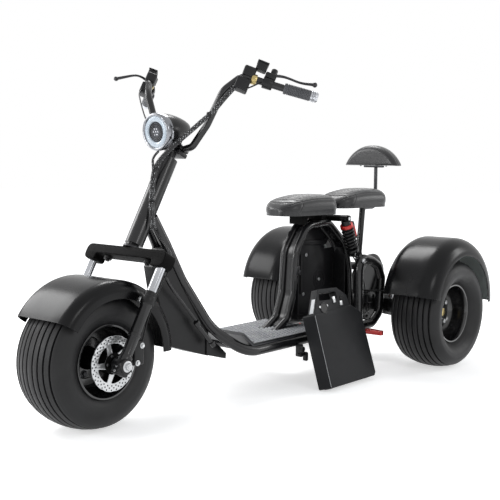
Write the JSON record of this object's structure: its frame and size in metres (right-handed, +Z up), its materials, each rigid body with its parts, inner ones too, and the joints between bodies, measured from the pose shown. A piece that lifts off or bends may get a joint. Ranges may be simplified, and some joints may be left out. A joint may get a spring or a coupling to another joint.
{
  "type": "electric trike",
  "caption": "Electric trike with a fat steered front wheel, a low tubular frame with footboard, two seats, a backrest and a removable battery box standing beside it.",
  "frame": {"origin": "on the floor at the middle of the bounding box", "axes": "+X forward, +Y to the rider's left, +Z up"},
  "size_m": [1.839, 0.904, 1.0525],
  "materials": {
    "board_mat": "patterned",
    "fork_metal": "gloss",
    "frame_paint": "satin",
    "leather": "satin",
    "lens": "clear",
    "panel_paint": "gloss",
    "plastic": "matte",
    "red_metal": "anodised",
    "rim_paint": "gloss",
    "rubber": "matte",
    "steel": "brushed",
    "tyre_rubber": "matte"
  },
  "bodies": {
    "frame_body": {"axle_housing": "frame_paint", "backrest_pad": "leather", "backrest_post": "frame_paint", "battery_bay": "frame_paint", "battery_pack": "plastic", "foot_peg_left": "red_metal", "foot_peg_right": "red_metal", "footboard": "board_mat", "front_gusset": "frame_paint", "main_frame": "frame_paint", "rear_fender_left": "panel_paint", "rear_fender_right": "panel_paint", "seat_frame": "frame_paint", "seat_front": "leather", "seat_post": "frame_paint", "seat_rear": "leather", "shock_left": "red_metal", "shock_right": "red_metal", "swing_arm_left": "frame_paint", "swing_arm_right": "frame_paint"},
    "steering": {"steering_stem": "frame_paint", "fork_crown": "frame_paint", "fork_left": "fork_metal", "fork_right": "fork_metal", "front_fender": "panel_paint", "front_axle": "steel", "handlebar": "frame_paint", "bar_clamp": "frame_paint", "grip_left": "rubber", "grip_right": "rubber", "lever_left": "fork_metal", "lever_right": "fork_metal", "controls_left": "plastic", "controls_right": "plastic", "headlight": "panel_paint", "headlight_lens": "lens", "brake_caliper": "rim_paint", "cable_bundle": "rubber"},
    "front_wheel": {"front_tyre": "tyre_rubber", "front_rim": "rim_paint", "front_brake_disc": "steel"},
    "rear_left_wheel": {"rear_tyre_left": "tyre_rubber", "rear_rim_left": "rim_paint"},
    "rear_right_wheel": {"rear_tyre_right": "tyre_rubber", "rear_rim_right": "rim_paint"}
  },
  "joints": [
    {"name": "steering", "type": "hinge", "parent": "frame_body", "child": "steering", "pos_m": [0.7165, 0, 0.203], "axis": [-0.5, 0, 0.866], "range_deg": [-30, 30]},
    {"name": "front_spin", "type": "hinge", "parent": "steering", "child": "front_wheel", "pos_m": [0.7165, 0, 0.203], "axis": [0, 1, 0], "continuous": true},
    {"name": "rear_left_spin", "type": "hinge", "parent": "frame_body", "child": "rear_left_wheel", "pos_m": [-0.6735, 0.34, 0.203], "axis": [0, 1, 0], "continuous": true},
    {"name": "rear_right_spin", "type": "hinge", "parent": "frame_body", "child": "rear_right_wheel", "pos_m": [-0.6735, -0.34, 0.203], "axis": [0, 1, 0], "continuous": true}
  ]
}
